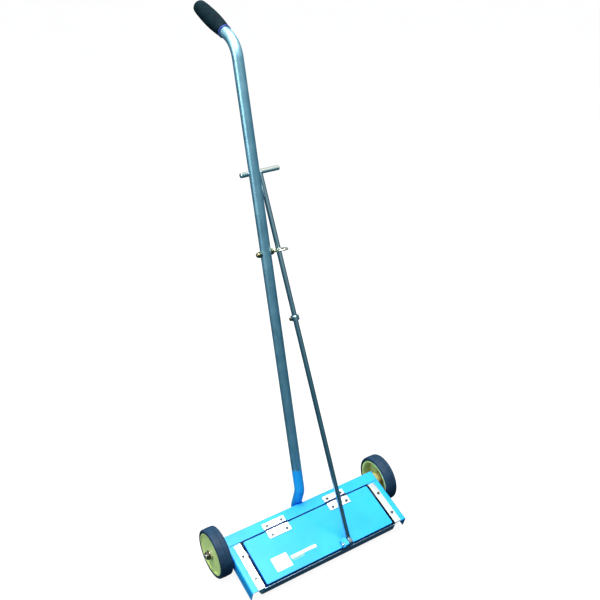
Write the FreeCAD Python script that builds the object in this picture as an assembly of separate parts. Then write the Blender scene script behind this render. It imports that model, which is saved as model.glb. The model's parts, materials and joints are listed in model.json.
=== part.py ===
import FreeCAD, Part
import math
import os

from FreeCAD import Vector

# Magnetic floor sweeper. All sizes are in millimetres.
# It is drawn in its deck frame: -y runs towards the tray's nose and +y towards the operator, z runs up
# from the top of the deck, and y = 0 is the lid's hinge line. "left" names the -x side and "right" the
# +x side. At the end every piece is tipped forward, so that the sweeper stands on its two wheels and the
# tray's round nose.

# ---- Driving dimensions -------------------------------------------------------------------------
FRAME_WIDTH = 452.0
DECK_FRONT_Y = 2.0
DECK_REAR_Y = 31.6
RAIL_FRONT_Y = -127.5
FLANGE_DEPTH = 33.0
SHEET = 2.0
RAIL_BEND_RADIUS = 5.0
CHANNEL_BEND_RADIUS = 3.0
CHANNEL_LIP_DEPTH = 7.0
SEAM_WIDTH = 1.0
RAIL_TOP_WIDTH = 32.5
AXLE_LOBE_DEPTH = 46.0
AXLE_LOBE_REACH = 26.4
AXLE_LOBE_SLOPE = 14.0

TRAY_SHEET = 1.2
TRAY_HALF_WIDTH = 192.9
TRAY_STRIP_OUTER_X = 209.3
TRAY_DEPTH = 53.0
TRAY_NOSE_RADIUS = 28.0
TRAY_LIP_Z = -5.5
TRAY_REAR_LIP = 2.0
TRAY_STRIP_REAR_Y = -2.5
TRAY_SCREW_FRACTIONS = (0.28, 0.77)

LID_HALF_WIDTH = 184.5
LID_TOP_Z = 3.0
LID_REAR_Y = -3.4
LID_FRONT_Y = -124.0
LID_FLANGE_BOTTOM_Z = -9.0
LID_CORNER_RADIUS = 3.0

HINGE_AXIS_Z = 4.0
HINGE_CENTRE_X = 89.5
HINGE_LENGTH = 62.0
HINGE_SCREW_SPACING = 41.0
KNUCKLE_RADIUS = 2.8
KNUCKLE_COUNT = 5
KNUCKLE_GAP = 0.4
HINGE_PIN_RADIUS = 1.4
LEAF_THICKNESS = 2.0
LEAF_START = 3.4
DECK_LEAF_REAR_Y = 19.0
DECK_LEAF_SCREW_Y = 10.0
LID_LEAF_FRONT_Y = -25.0
LID_LEAF_SCREW_Y = -18.5

SCREW_RADIUS = 2.0
SCREW_HEAD_RADIUS = 3.7
SCREW_HEAD_HEIGHT = 2.2
SCREW_SLOT_WIDTH = 0.9
SCREW_CROWN_SHARE = 0.6
TRAY_SCREW_LENGTH = 7.0
HINGE_SCREW_LENGTH = 8.0
HOLE_CLEARANCE = 0.15
HOLE_REACH = 10.0
RUNNING_CLEARANCE = 0.05
SEAT_CLEARANCE = 0.02

YOKE_HALF_LENGTH = 180.0
YOKE_REAR_Y = -28.0
YOKE_FRONT_Y = -111.0
YOKE_BOTTOM_Z = -46.0
YOKE_WALL = 3.0
CENTRE_POLE_WIDTH = 5.0
MAGNET_COUNT_PER_ROW = 4
MAGNET_HEIGHT = 18.0
MAGNET_BOTTOM_Z = -44.0
MAGNET_GAP = 1.0

WHEEL_RADIUS = 62.5
WHEEL_WIDTH = 32.0
WHEEL_AXIS_Y = 16.5
WHEEL_AXIS_Z = -25.8
WHEEL_GAP = 3.8
HUB_RADIUS = 53.5
HUB_RIM_INNER_RADIUS = 48.5
HUB_FACE_INSET = 1.0
HUB_FACE_RECESS = 2.0
HUB_WEB_THICKNESS = 6.0
HUB_BOSS_RADIUS = 17.0
BUSH_RADIUS = 9.0
AXLE_RADIUS = 6.0
SPACER_RADIUS = 12.0
SPACER_LENGTH = 3.5
AXLE_WASHER_RADIUS = 12.0
AXLE_WASHER_THICKNESS = 2.0
AXLE_NUT_FLATS = 19.0
AXLE_NUT_HEIGHT = 8.0
AXLE_TIP = 2.0
WHEEL_END_PLAY = 0.3
TYRE_SHOULDER_RADIUS = 4.0

TUBE_RADIUS = 12.7
TUBE_WALL = 1.6
HANDLE_LEAN = 29.4
HANDLE_FOOT_Z = -31.0
HANDLE_KINK_Z = 40.0
HANDLE_KINK_RADIUS = 40.0
HANDLE_TOP_Z = 988.5
HANDLE_TOP_RADIUS = 55.0
SOCKET_ABOVE_KINK = 62.0
SPIGOT_LENGTH = 45.0
SPIGOT_SEATING = 20.0
GRIP_START_Y = 628.5
GRIP_LENGTH = 126.5
GRIP_FLANGE_RADIUS = 15.3
GRIP_FLANGE_LENGTH = 2.5
GRIP_MOUTH_RADIUS = 14.0
GRIP_BELLY_RADIUS = 18.6
GRIP_BELLY_PLACE = 0.42
GRIP_SHOULDER = 7.0
GRIP_SHOULDER_RADIUS = 16.0
GRIP_END_RADIUS = 11.5
GRIP_END_WALL = 6.0
WELD_HALF_WIDTH = 9.0
WELD_DEPTH = 5.0
WELD_ABOVE_FOOT = 2.0

EYE_CENTRE_X = 35.5
EYE_HEIGHT_Z = 585.0
EYE_WIRE_RADIUS = 2.6
EYE_INNER_RADIUS = 8.5
EYE_SLOT = 17.0
EYE_REAR_ROOM = 0.6
ROD_SIDEWAYS_IN_EYE = -1.3
EYE_SHANK_RADIUS = 4.0
EYE_NUT_FLATS = 13.0
EYE_NUT_HEIGHT = 6.5
ACORN_FLATS_LENGTH = 6.5
ACORN_DOME_RADIUS = 6.1
ACORN_THREAD_DEPTH = 9.3
NUT_GAP = 0.1

PIVOT_Y = -122.0
PIVOT_Z = 11.0
PIVOT_PIN_RADIUS = 3.0
PIVOT_HEAD_RADIUS = 3.9
PIVOT_HEAD_PROUD = 1.5
PIVOT_HEAD_SUNK = 2.7
PIVOT_TAIL_PROUD = 1.2
SPOT_FACE_GAP = 0.5
LUG_LEFT_X = 30.0
LUG_RIGHT_X = 44.0
LUG_REAR_Y = -108.0
LUG_FRONT_Y = -129.0
LUG_TOP_Z = 17.0
LUG_SHOULDER = 7.0
LUG_RIDGE = 8.0

ROD_RADIUS = 6.0
ROD_FOOT_X = 51.5
ROD_FOOT_Y = -111.5
ROD_FOOT_Z = 13.5
ROD_FOOT_BEND = 12.0
ROD_EYE_THICKNESS = 9.0
ROD_EYE_RADIUS = 7.0
ROD_ABOVE_EYE = 183.0
T_BAR_LENGTH = 100.0
T_BAR_RADIUS = 6.0
COLLAR_BELOW_EYE = 165.0
COLLAR_RADIUS = 10.0
COLLAR_LENGTH = 12.0
COLLAR_FLAT_DEPTH = 0.8
COLLAR_SCREW_RADIUS = 2.5
COLLAR_SCREW_FLATS = 8.0
COLLAR_SCREW_HEAD = 5.0
END_CHAMFER = 1.0
HEX_FACE_SHARE = 0.95

# ---- Derived places ------------------------------------------------------------------------------
HALF_WIDTH = FRAME_WIDTH / 2
TRAY_REAR_Y = DECK_FRONT_Y + SHEET + TRAY_SHEET
TRAY_STRIP_SCREW_X = (HALF_WIDTH - RAIL_TOP_WIDTH + TRAY_STRIP_OUTER_X) / 2
LEAN = math.radians(HANDLE_LEAN)
HANDLE_AXIS_Y = DECK_REAR_Y + TUBE_RADIUS
HANDLE_KINK = Vector(0, HANDLE_AXIS_Y, HANDLE_KINK_Z)
HANDLE_UP = Vector(0, math.sin(LEAN), math.cos(LEAN))
HANDLE_CORNER = HANDLE_KINK + HANDLE_UP * ((HANDLE_TOP_Z - HANDLE_KINK_Z) / math.cos(LEAN))
SOCKET_END = HANDLE_KINK + HANDLE_UP * SOCKET_ABOVE_KINK
EYE_ON_TUBE = HANDLE_KINK + HANDLE_UP * ((EYE_HEIGHT_Z - HANDLE_KINK_Z) / math.cos(LEAN))
EYE_CENTRE = EYE_ON_TUBE + Vector(EYE_CENTRE_X, 0, 0)
ROD_FOOT = Vector(ROD_FOOT_X, ROD_FOOT_Y, ROD_FOOT_Z)
ROD_AT_EYE = EYE_CENTRE + Vector(ROD_SIDEWAYS_IN_EYE, 0, 0)
ROD_UP = (ROD_AT_EYE - ROD_FOOT).normalize()
ROD_TOP = ROD_AT_EYE + ROD_UP * ROD_ABOVE_EYE
COLLAR_CENTRE = ROD_AT_EYE - ROD_UP * COLLAR_BELOW_EYE
PIVOT = Vector(ROD_FOOT_X, PIVOT_Y, PIVOT_Z)
WHEEL_INNER_X = HALF_WIDTH + WHEEL_GAP
WHEEL_OUTER_X = WHEEL_INNER_X + WHEEL_WIDTH
EYE_SHANK_END_X = -TUBE_RADIUS - ACORN_THREAD_DEPTH
SIDES = {"left": -1, "right": 1}

# Standing tilt: the wheels' circle and the tray nose's circle touch the same floor line.
NOSE_Y = RAIL_FRONT_Y + TRAY_NOSE_RADIUS
NOSE_Z = -TRAY_DEPTH + TRAY_NOSE_RADIUS
AXLE_FROM_NOSE_Y = WHEEL_AXIS_Y - NOSE_Y
AXLE_FROM_NOSE_Z = WHEEL_AXIS_Z - NOSE_Z
AXLE_FROM_NOSE = math.hypot(AXLE_FROM_NOSE_Y, AXLE_FROM_NOSE_Z)
STANDING_TILT = math.degrees(
    math.asin((WHEEL_RADIUS - TRAY_NOSE_RADIUS) / AXLE_FROM_NOSE)
    - math.atan2(AXLE_FROM_NOSE_Z, AXLE_FROM_NOSE_Y)
)
X_AXIS = Vector(1, 0, 0)
EYE_SLOT_DIRECTION = X_AXIS.cross(ROD_UP).normalize()


# ---- Helpers -------------------------------------------------------------------------------------
def box(x0, x1, y0, y1, z0, z1):
    """A block between two corners given as ranges."""
    return Part.makeBox(x1 - x0, y1 - y0, z1 - z0, Vector(x0, y0, z0))


def rod_between(start, end, radius):
    """A round bar from start to end."""
    along = end - start
    return Part.makeCylinder(radius, along.Length, start, along)


def bar_x(x0, x1, y, z, radius):
    """A round bar along x."""
    return Part.makeCylinder(radius, x1 - x0, Vector(x0, y, z), X_AXIS)


def ring_x(x0, x1, y, z, outer, inner):
    """A washer, sleeve or rim whose axis runs along x."""
    return bar_x(x0, x1, y, z, outer).cut(bar_x(x0 - 1, x1 + 1, y, z, inner))


def prism_x(points, x0, x1):
    """Extrudes a closed outline of (y, z) points along x."""
    corners = [Vector(x0, y, z) for y, z in points]
    outline = Part.makePolygon(corners + corners[:1])
    return Part.Face(outline).extrude(Vector(x1 - x0, 0, 0))


def prism_y(points, y0, y1):
    """Extrudes a closed outline of (x, z) points along y."""
    corners = [Vector(x, y0, z) for x, z in points]
    outline = Part.makePolygon(corners + corners[:1])
    return Part.Face(outline).extrude(Vector(0, y1 - y0, 0))


def hexagon_x(x0, x1, y, z, flats):
    """A nut or bolt head blank whose axis runs along x, with its corners turned off at both ends."""
    corner_radius = flats / math.sqrt(3)
    angles = [math.radians(60 * i) for i in range(6)]
    corners = [(y + corner_radius * math.cos(a), z + corner_radius * math.sin(a)) for a in angles]
    turned = bar_x(x0, x1, y, z, corner_radius)
    face_radius = HEX_FACE_SHARE * flats / 2
    turned = turned.makeChamfer(corner_radius - face_radius, closed_edges(turned))
    return prism_x(corners, x0, x1).common(turned)


def closed_edges(shape):
    """The full circles of a turned piece."""
    return [edge for edge in shape.Edges if edge.Closed]


def mirror_x(shape):
    """The same piece on the other side of the sweeper."""
    return shape.mirror(Vector(0, 0, 0), X_AXIS)


def on_side(shape, side):
    """A piece drawn on the +x side, placed on the named side."""
    return shape if side > 0 else mirror_x(shape)


def group(solids):
    """Identical pieces kept in one node as separate solids."""
    return Part.makeCompound(solids)


def edges_along(shape, direction, test):
    """Straight edges parallel to direction whose middle point passes the test."""
    found = []
    for edge in shape.Edges:
        if edge.Curve.TypeId != "Part::GeomLine":
            continue
        run = edge.Vertexes[-1].Point - edge.Vertexes[0].Point
        if run.cross(direction).Length < 1e-6 and test(edge.CenterOfMass):
            found.append(edge)
    return found


def pipe(path_edges, radius, start, direction):
    """A solid round bar swept along tangent lines and arcs."""
    wire = Part.Wire(path_edges)
    circle = Part.Wire(Part.Circle(start, direction, radius).toShape())
    return wire.makePipeShell([circle], True, False)


def bend(before, corner, after, radius):
    """Two tangent points and the middle of the arc that rounds a corner between two straight runs."""
    into = (corner - before).normalize()
    out = (after - corner).normalize()
    half_turn = math.acos(max(-1, min(1, into.dot(out)))) / 2
    reach = radius * math.tan(half_turn)
    first = corner - into * reach
    last = corner + out * reach
    towards_centre = (out - into).normalize()
    middle = corner + towards_centre * (radius / math.cos(half_turn) - radius)
    return first, middle, last


def bent_tube(points, radii, outer, inner):
    """A hollow tube along straight runs joined by tangent arcs."""
    edges = []
    start = points[0]
    for i, radius in enumerate(radii, 1):
        first, middle, last = bend(points[i - 1], points[i], points[i + 1], radius)
        edges.append(Part.makeLine(start, first))
        edges.append(Part.Arc(first, middle, last).toShape())
        start = last
    edges.append(Part.makeLine(start, points[-1]))
    direction = points[1] - points[0]
    return pipe(edges, outer, points[0], direction).cut(pipe(edges, inner, points[0], direction))


# ---- Frame ---------------------------------------------------------------------------------------
def deck_block(half_width, front_y, depth):
    """A block as deep as asked under the deck, with the deck's rounded rear edge."""
    block = box(-half_width, half_width, front_y, DECK_REAR_Y, -depth, 0)
    rear_edge = edges_along(block, X_AXIS, lambda p: p.y > DECK_REAR_Y - 1 and p.z > -1)
    return block.makeFillet(CHANNEL_BEND_RADIUS, rear_edge)


def rail_inside():
    """The room inside the right-hand rail's bend, longer than the rail."""
    room = box(
        0, HALF_WIDTH - SHEET, RAIL_FRONT_Y - 1, DECK_REAR_Y + 1, -AXLE_LOBE_DEPTH - 1, -SHEET
    )
    corner = edges_along(room, Vector(0, 1, 0), lambda p: p.x > 1 and p.z > -SHEET - 1)
    return room.makeFillet(RAIL_BEND_RADIUS - SHEET, corner)


def rear_channel():
    """The deck strip behind the lid: a flange turned down at the back and a short lip at the front."""
    half = HALF_WIDTH - SHEET
    channel = deck_block(half, DECK_FRONT_Y, FLANGE_DEPTH)
    inside = box(
        -half - 1, half + 1, DECK_FRONT_Y + SHEET, DECK_REAR_Y - SHEET, -FLANGE_DEPTH - 1, -SHEET
    )
    rear_corner = edges_along(inside, X_AXIS, lambda p: p.y > DECK_REAR_Y - SHEET - 1 and p.z > -SHEET - 1)
    inside = inside.makeFillet(CHANNEL_BEND_RADIUS - SHEET, rear_corner)
    below_lip = box(
        -half - 1, half + 1, DECK_FRONT_Y - 1, DECK_FRONT_Y + SHEET + 1,
        -FLANGE_DEPTH - 1, -CHANNEL_LIP_DEPTH,
    )
    channel = channel.cut([inside, below_lip])
    lip_half = TRAY_HALF_WIDTH - TRAY_SHEET - HOLE_CLEARANCE
    rail_corner = box(
        HALF_WIDTH - RAIL_BEND_RADIUS, HALF_WIDTH + 1, DECK_FRONT_Y - 1, DECK_REAR_Y + 1,
        -FLANGE_DEPTH - 1, 1,
    )
    rail_corner = rail_corner.cut(rail_inside())
    beside_lip = box(
        lip_half, HALF_WIDTH, DECK_FRONT_Y - 1, DECK_FRONT_Y + SHEET, -FLANGE_DEPTH - 1, -SHEET
    )
    for side in SIDES.values():
        channel = channel.cut([on_side(rail_corner, side), on_side(beside_lip, side)])
    for x in hinge_screw_places():
        channel = channel.cut(screw_hole(x, DECK_LEAF_SCREW_Y))
    return channel


def side_rail(side):
    """Angle rail beside the tray. Its outer flange runs on to the back and carries the axle."""
    rail = box(
        HALF_WIDTH - RAIL_TOP_WIDTH, HALF_WIDTH, RAIL_FRONT_Y, DECK_REAR_Y, -FLANGE_DEPTH, 0
    )
    outer_corner = edges_along(rail, Vector(0, 1, 0), lambda p: p.x > HALF_WIDTH - 1 and p.z > -1)
    rail = rail.makeFillet(RAIL_BEND_RADIUS, outer_corner).cut(rail_inside())
    deck_place = box(
        0, HALF_WIDTH - RAIL_BEND_RADIUS, DECK_FRONT_Y - SEAM_WIDTH, DECK_REAR_Y + 1,
        -FLANGE_DEPTH, 1,
    )
    rail = rail.cut(deck_place)
    rail = rail.common(deck_block(HALF_WIDTH + 1, RAIL_FRONT_Y - 1, FLANGE_DEPTH))
    lobe_start = WHEEL_AXIS_Y - AXLE_LOBE_REACH
    lobe = prism_x(
        [
            (lobe_start - AXLE_LOBE_SLOPE, -FLANGE_DEPTH),
            (lobe_start, -AXLE_LOBE_DEPTH),
            (DECK_REAR_Y, -AXLE_LOBE_DEPTH),
            (DECK_REAR_Y, -FLANGE_DEPTH),
        ],
        HALF_WIDTH - SHEET,
        HALF_WIDTH,
    )
    rail = rail.fuse(lobe).removeSplitter()
    rail = rail.cut(
        bar_x(
            HALF_WIDTH - SHEET - 1, HALF_WIDTH + 1,
            WHEEL_AXIS_Y, WHEEL_AXIS_Z, AXLE_RADIUS + SEAT_CLEARANCE,
        )
    )
    for y in tray_screw_places():
        rail = rail.cut(screw_hole(TRAY_STRIP_SCREW_X, y))
    return on_side(rail, side)


def pan_outline(offset, top_z):
    """Side view of the tray moved inwards by offset: flat bottom and a round nose."""
    front = RAIL_FRONT_Y + offset
    bottom = -TRAY_DEPTH + offset
    rear = TRAY_REAR_Y - offset
    radius = TRAY_NOSE_RADIUS - offset
    diagonal = radius * math.sqrt(0.5)
    top_front = Vector(0, front, top_z)
    nose_top = Vector(0, front, NOSE_Z)
    nose_middle = Vector(0, NOSE_Y - diagonal, NOSE_Z - diagonal)
    nose_bottom = Vector(0, NOSE_Y, bottom)
    bottom_rear = Vector(0, rear, bottom)
    top_rear = Vector(0, rear, top_z)
    return Part.Wire(
        [
            Part.makeLine(top_front, nose_top),
            Part.Arc(nose_top, nose_middle, nose_bottom).toShape(),
            Part.makeLine(nose_bottom, bottom_rear),
            Part.makeLine(bottom_rear, top_rear),
            Part.makeLine(top_rear, top_front),
        ]
    )


def pan_block(offset, top_z, half_width):
    """The tray outline as a solid block across the sweeper."""
    face = Part.Face(pan_outline(offset, top_z))
    face.translate(Vector(-half_width, 0, 0))
    return face.extrude(Vector(2 * half_width, 0, 0))


def tray():
    """Thin stainless tray under the magnet, hung from the rails by its two side strips."""
    inner_half = TRAY_HALF_WIDTH - TRAY_SHEET
    pan = pan_block(0, TRAY_SHEET, TRAY_HALF_WIDTH).cut(pan_block(TRAY_SHEET, 10, inner_half))
    front_gap = box(
        -inner_half, inner_half, RAIL_FRONT_Y - 1, RAIL_FRONT_Y + TRAY_SHEET + 1, TRAY_LIP_Z, 10
    )
    under_deck = box(-HALF_WIDTH, HALF_WIDTH, TRAY_STRIP_REAR_Y, DECK_REAR_Y, -SHEET, 10)
    pan = pan.cut(front_gap).cut(under_deck)
    rear_lip = box(
        -inner_half, inner_half, TRAY_REAR_Y - TRAY_SHEET, TRAY_REAR_Y + TRAY_REAR_LIP,
        -SHEET - TRAY_SHEET, -SHEET,
    )
    pieces = [rear_lip]
    for side in SIDES.values():
        strip = box(inner_half, TRAY_STRIP_OUTER_X, RAIL_FRONT_Y, TRAY_STRIP_REAR_Y, 0, TRAY_SHEET)
        pieces.append(on_side(strip, side))
    pan = pan.fuse(pieces).removeSplitter()
    for side in SIDES.values():
        for y in tray_screw_places():
            pan = pan.cut(screw_hole(side * TRAY_STRIP_SCREW_X, y))
    return pan


# ---- Screws --------------------------------------------------------------------------------------
def tray_screw_places():
    """The two y places along each side strip."""
    return [RAIL_FRONT_Y * fraction for fraction in TRAY_SCREW_FRACTIONS]


def hinge_screw_places():
    """The x places of the screws of both hinges."""
    half = HINGE_SCREW_SPACING / 2
    return [side * HINGE_CENTRE_X + end * half for side in (-1, 1) for end in (-1, 1)]


def screw_hole(x, y):
    """Clearance hole for one screw through the sheets near the deck."""
    radius = SCREW_RADIUS + HOLE_CLEARANCE
    return Part.makeCylinder(radius, 2 * HOLE_REACH, Vector(x, y, -HOLE_REACH))


def pan_screw(x, y, seat_z, length):
    """A pan-head screw whose head sits on seat_z, with a cross slot in the head."""
    shank = Part.makeCylinder(SCREW_RADIUS, length, Vector(x, y, seat_z - length))
    head = Part.makeCylinder(SCREW_HEAD_RADIUS, SCREW_HEAD_HEIGHT, Vector(x, y, seat_z))
    crown = [edge for edge in closed_edges(head) if edge.CenterOfMass.z > seat_z + SCREW_HEAD_HEIGHT / 2]
    head = head.makeFillet(SCREW_HEAD_HEIGHT * SCREW_CROWN_SHARE, crown)
    slot_top = seat_z + SCREW_HEAD_HEIGHT + 1
    slot_floor = seat_z + SCREW_HEAD_HEIGHT / 2
    reach = SCREW_HEAD_RADIUS / 2
    half = SCREW_SLOT_WIDTH / 2
    slots = [
        box(x - reach, x + reach, y - half, y + half, slot_floor, slot_top),
        box(x - half, x + half, y - reach, y + reach, slot_floor, slot_top),
    ]
    return head.fuse(shank).cut(slots)


def tray_screws():
    """Four screws through the tray's side strips."""
    places = [(s * TRAY_STRIP_SCREW_X, y) for s in (-1, 1) for y in tray_screw_places()]
    return group([pan_screw(x, y, TRAY_SHEET, TRAY_SCREW_LENGTH) for x, y in places])


def hinge_deck_screws():
    """Four screws that hold the hinges to the deck."""
    return group(
        [pan_screw(x, DECK_LEAF_SCREW_Y, LEAF_THICKNESS, HINGE_SCREW_LENGTH) for x in hinge_screw_places()]
    )


def hinge_lid_screws():
    """Four screws that hold the hinges to the lid."""
    seat = LID_TOP_Z + LEAF_THICKNESS
    return group(
        [pan_screw(x, LID_LEAF_SCREW_Y, seat, HINGE_SCREW_LENGTH) for x in hinge_screw_places()]
    )


# ---- Hinges --------------------------------------------------------------------------------------
def knuckle_spans(centre_x, first):
    """The x ranges of every second knuckle, from the one numbered first."""
    pitch = HINGE_LENGTH / KNUCKLE_COUNT
    start = centre_x - HINGE_LENGTH / 2
    gap = KNUCKLE_GAP / 2
    return [
        (start + i * pitch + gap, start + (i + 1) * pitch - gap)
        for i in range(first, KNUCKLE_COUNT, 2)
    ]


def hinge_leaf(centre_x, towards, end_y, bottom_z, first, screw_y, bore):
    """One leaf of a butt hinge: a screwed plate and its share of the knuckles."""
    top_z = bottom_z + LEAF_THICKNESS
    half = HINGE_LENGTH / 2
    low_y, high_y = sorted((towards * LEAF_START, end_y))
    leaf = box(centre_x - half, centre_x + half, low_y, high_y, bottom_z, top_z)
    neck_low, neck_high = sorted((0, towards * LEAF_START))
    for x0, x1 in knuckle_spans(centre_x, first):
        neck = box(x0, x1, neck_low, neck_high, bottom_z, top_z)
        leaf = leaf.fuse([neck, bar_x(x0, x1, 0, HINGE_AXIS_Z, KNUCKLE_RADIUS)])
    leaf = leaf.removeSplitter()
    leaf = leaf.cut(bar_x(centre_x - half - 1, centre_x + half + 1, 0, HINGE_AXIS_Z, bore))
    for x in hinge_screw_places():
        leaf = leaf.cut(screw_hole(x, screw_y))
    return leaf


def deck_leaf(side):
    """The hinge leaf on the deck. It holds the pin."""
    bore = HINGE_PIN_RADIUS + SEAT_CLEARANCE
    centre = side * HINGE_CENTRE_X
    return hinge_leaf(centre, 1, DECK_LEAF_REAR_Y, 0, 0, DECK_LEAF_SCREW_Y, bore)


def lid_leaf(side):
    """The hinge leaf on the lid. It turns on the pin."""
    bore = HINGE_PIN_RADIUS + RUNNING_CLEARANCE
    centre = side * HINGE_CENTRE_X
    return hinge_leaf(centre, -1, LID_LEAF_FRONT_Y, LID_TOP_Z, 1, LID_LEAF_SCREW_Y, bore)


def hinge_pins():
    """The two hinge pins."""
    half = HINGE_LENGTH / 2
    return group(
        [
            bar_x(
                side * HINGE_CENTRE_X - half, side * HINGE_CENTRE_X + half, 0, HINGE_AXIS_Z, HINGE_PIN_RADIUS
            )
            for side in SIDES.values()
        ]
    )


# ---- Lid and magnet ------------------------------------------------------------------------------
def lid_cover():
    """Painted sheet cover with short flanges turned down on three sides."""
    outer = box(-LID_HALF_WIDTH, LID_HALF_WIDTH, LID_FRONT_Y, LID_REAR_Y, LID_FLANGE_BOTTOM_Z, LID_TOP_Z)
    upright = edges_along(outer, Vector(0, 0, 1), lambda p: True)
    outer = outer.makeFillet(LID_CORNER_RADIUS, upright)
    inner = box(
        -LID_HALF_WIDTH + SHEET, LID_HALF_WIDTH - SHEET, LID_FRONT_Y + SHEET, LID_REAR_Y + 1,
        LID_FLANGE_BOTTOM_Z - 1, LID_TOP_Z - SHEET,
    )
    cover = outer.cut(inner)
    for x in hinge_screw_places():
        cover = cover.cut(screw_hole(x, LID_LEAF_SCREW_Y))
    return cover


def magnet_yoke():
    """Steel box, open below, that carries the magnets under the cover and acts as the outer poles."""
    top = LID_TOP_Z - SHEET
    outer = box(-YOKE_HALF_LENGTH, YOKE_HALF_LENGTH, YOKE_FRONT_Y, YOKE_REAR_Y, YOKE_BOTTOM_Z, top)
    inner = box(
        -YOKE_HALF_LENGTH + YOKE_WALL, YOKE_HALF_LENGTH - YOKE_WALL,
        YOKE_FRONT_Y + YOKE_WALL, YOKE_REAR_Y - YOKE_WALL,
        YOKE_BOTTOM_Z - 1, top - YOKE_WALL,
    )
    return outer.cut(inner)


def centre_pole():
    """Steel bar between the two rows of magnets."""
    middle = (YOKE_FRONT_Y + YOKE_REAR_Y) / 2
    half = CENTRE_POLE_WIDTH / 2
    end = YOKE_HALF_LENGTH - YOKE_WALL
    top = LID_TOP_Z - SHEET - YOKE_WALL
    return box(-end, end, middle - half, middle + half, YOKE_BOTTOM_Z, top)


def magnet_blocks():
    """Two rows of ferrite blocks between the poles."""
    length = 2 * (YOKE_HALF_LENGTH - YOKE_WALL)
    pitch = length / MAGNET_COUNT_PER_ROW
    middle = (YOKE_FRONT_Y + YOKE_REAR_Y) / 2
    half_pole = CENTRE_POLE_WIDTH / 2
    rows = [
        (YOKE_FRONT_Y + YOKE_WALL, middle - half_pole),
        (middle + half_pole, YOKE_REAR_Y - YOKE_WALL),
    ]
    blocks = []
    for y0, y1 in rows:
        for i in range(MAGNET_COUNT_PER_ROW):
            x0 = -length / 2 + i * pitch + MAGNET_GAP / 2
            x1 = x0 + pitch - MAGNET_GAP
            blocks.append(box(x0, x1, y0, y1, MAGNET_BOTTOM_Z, MAGNET_BOTTOM_Z + MAGNET_HEIGHT))
    return group(blocks)


def pull_lug():
    """Folded lug welded on the lid's front edge, bored for the pull rod's pin."""
    ridge_x = LUG_LEFT_X + LUG_RIDGE
    shoulder_z = LUG_TOP_Z - LUG_SHOULDER
    lug = prism_y(
        [
            (LUG_LEFT_X, LID_TOP_Z),
            (LUG_LEFT_X, shoulder_z),
            (ridge_x, LUG_TOP_Z),
            (LUG_RIGHT_X, LUG_TOP_Z),
            (LUG_RIGHT_X, LID_TOP_Z),
        ],
        LUG_FRONT_Y,
        LUG_REAR_Y,
    )
    bore = bar_x(LUG_LEFT_X - 1, LUG_RIGHT_X + 1, PIVOT_Y, PIVOT_Z, PIVOT_PIN_RADIUS + RUNNING_CLEARANCE)
    spot_face = bar_x(
        LUG_LEFT_X - 1, LUG_LEFT_X + PIVOT_HEAD_SUNK + SPOT_FACE_GAP,
        PIVOT_Y, PIVOT_Z, PIVOT_HEAD_RADIUS + SPOT_FACE_GAP,
    )
    return lug.cut([bore, spot_face])


# ---- Pull rod ------------------------------------------------------------------------------------
def pull_rod():
    """Round bar whose lower end bends forward into a flattened eye for the pin."""
    first, middle, last = bend(ROD_TOP, ROD_FOOT, PIVOT, ROD_FOOT_BEND)
    path = [
        Part.makeLine(ROD_TOP, first),
        Part.Arc(first, middle, last).toShape(),
        Part.makeLine(last, PIVOT),
    ]
    bar = pipe(path, ROD_RADIUS, ROD_TOP, -ROD_UP)
    x0 = ROD_FOOT_X - ROD_EYE_THICKNESS / 2
    x1 = ROD_FOOT_X + ROD_EYE_THICKNESS / 2
    flat_rear_y = last.y
    for side_x in (x0 - ROD_RADIUS, x1):
        pressed_away = box(
            side_x, side_x + ROD_RADIUS, PIVOT_Y - 2 * ROD_EYE_RADIUS, flat_rear_y,
            PIVOT_Z - 2 * ROD_EYE_RADIUS, PIVOT_Z + 2 * ROD_EYE_RADIUS,
        )
        bar = bar.cut(pressed_away)
    eye = bar_x(x0, x1, PIVOT_Y, PIVOT_Z, ROD_EYE_RADIUS)
    bore = bar_x(x0 - 1, x1 + 1, PIVOT_Y, PIVOT_Z, PIVOT_PIN_RADIUS + SEAT_CLEARANCE)
    collar_hole = bar_x(
        COLLAR_CENTRE.x - COLLAR_RADIUS, COLLAR_CENTRE.x - ROD_RADIUS / 2,
        COLLAR_CENTRE.y, COLLAR_CENTRE.z, COLLAR_SCREW_RADIUS + HOLE_CLEARANCE,
    )
    saddle = bar_x(
        ROD_TOP.x - T_BAR_LENGTH / 2, ROD_TOP.x + T_BAR_LENGTH / 2, ROD_TOP.y, ROD_TOP.z,
        T_BAR_RADIUS + SEAT_CLEARANCE,
    )
    return bar.fuse(eye).cut([bore, collar_hole, saddle])


def t_bar():
    """Cross bar for the hand, welded across the top of the pull rod."""
    half = T_BAR_LENGTH / 2
    bar = bar_x(ROD_TOP.x - half, ROD_TOP.x + half, ROD_TOP.y, ROD_TOP.z, T_BAR_RADIUS)
    return bar.makeChamfer(END_CHAMFER, closed_edges(bar))


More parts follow.
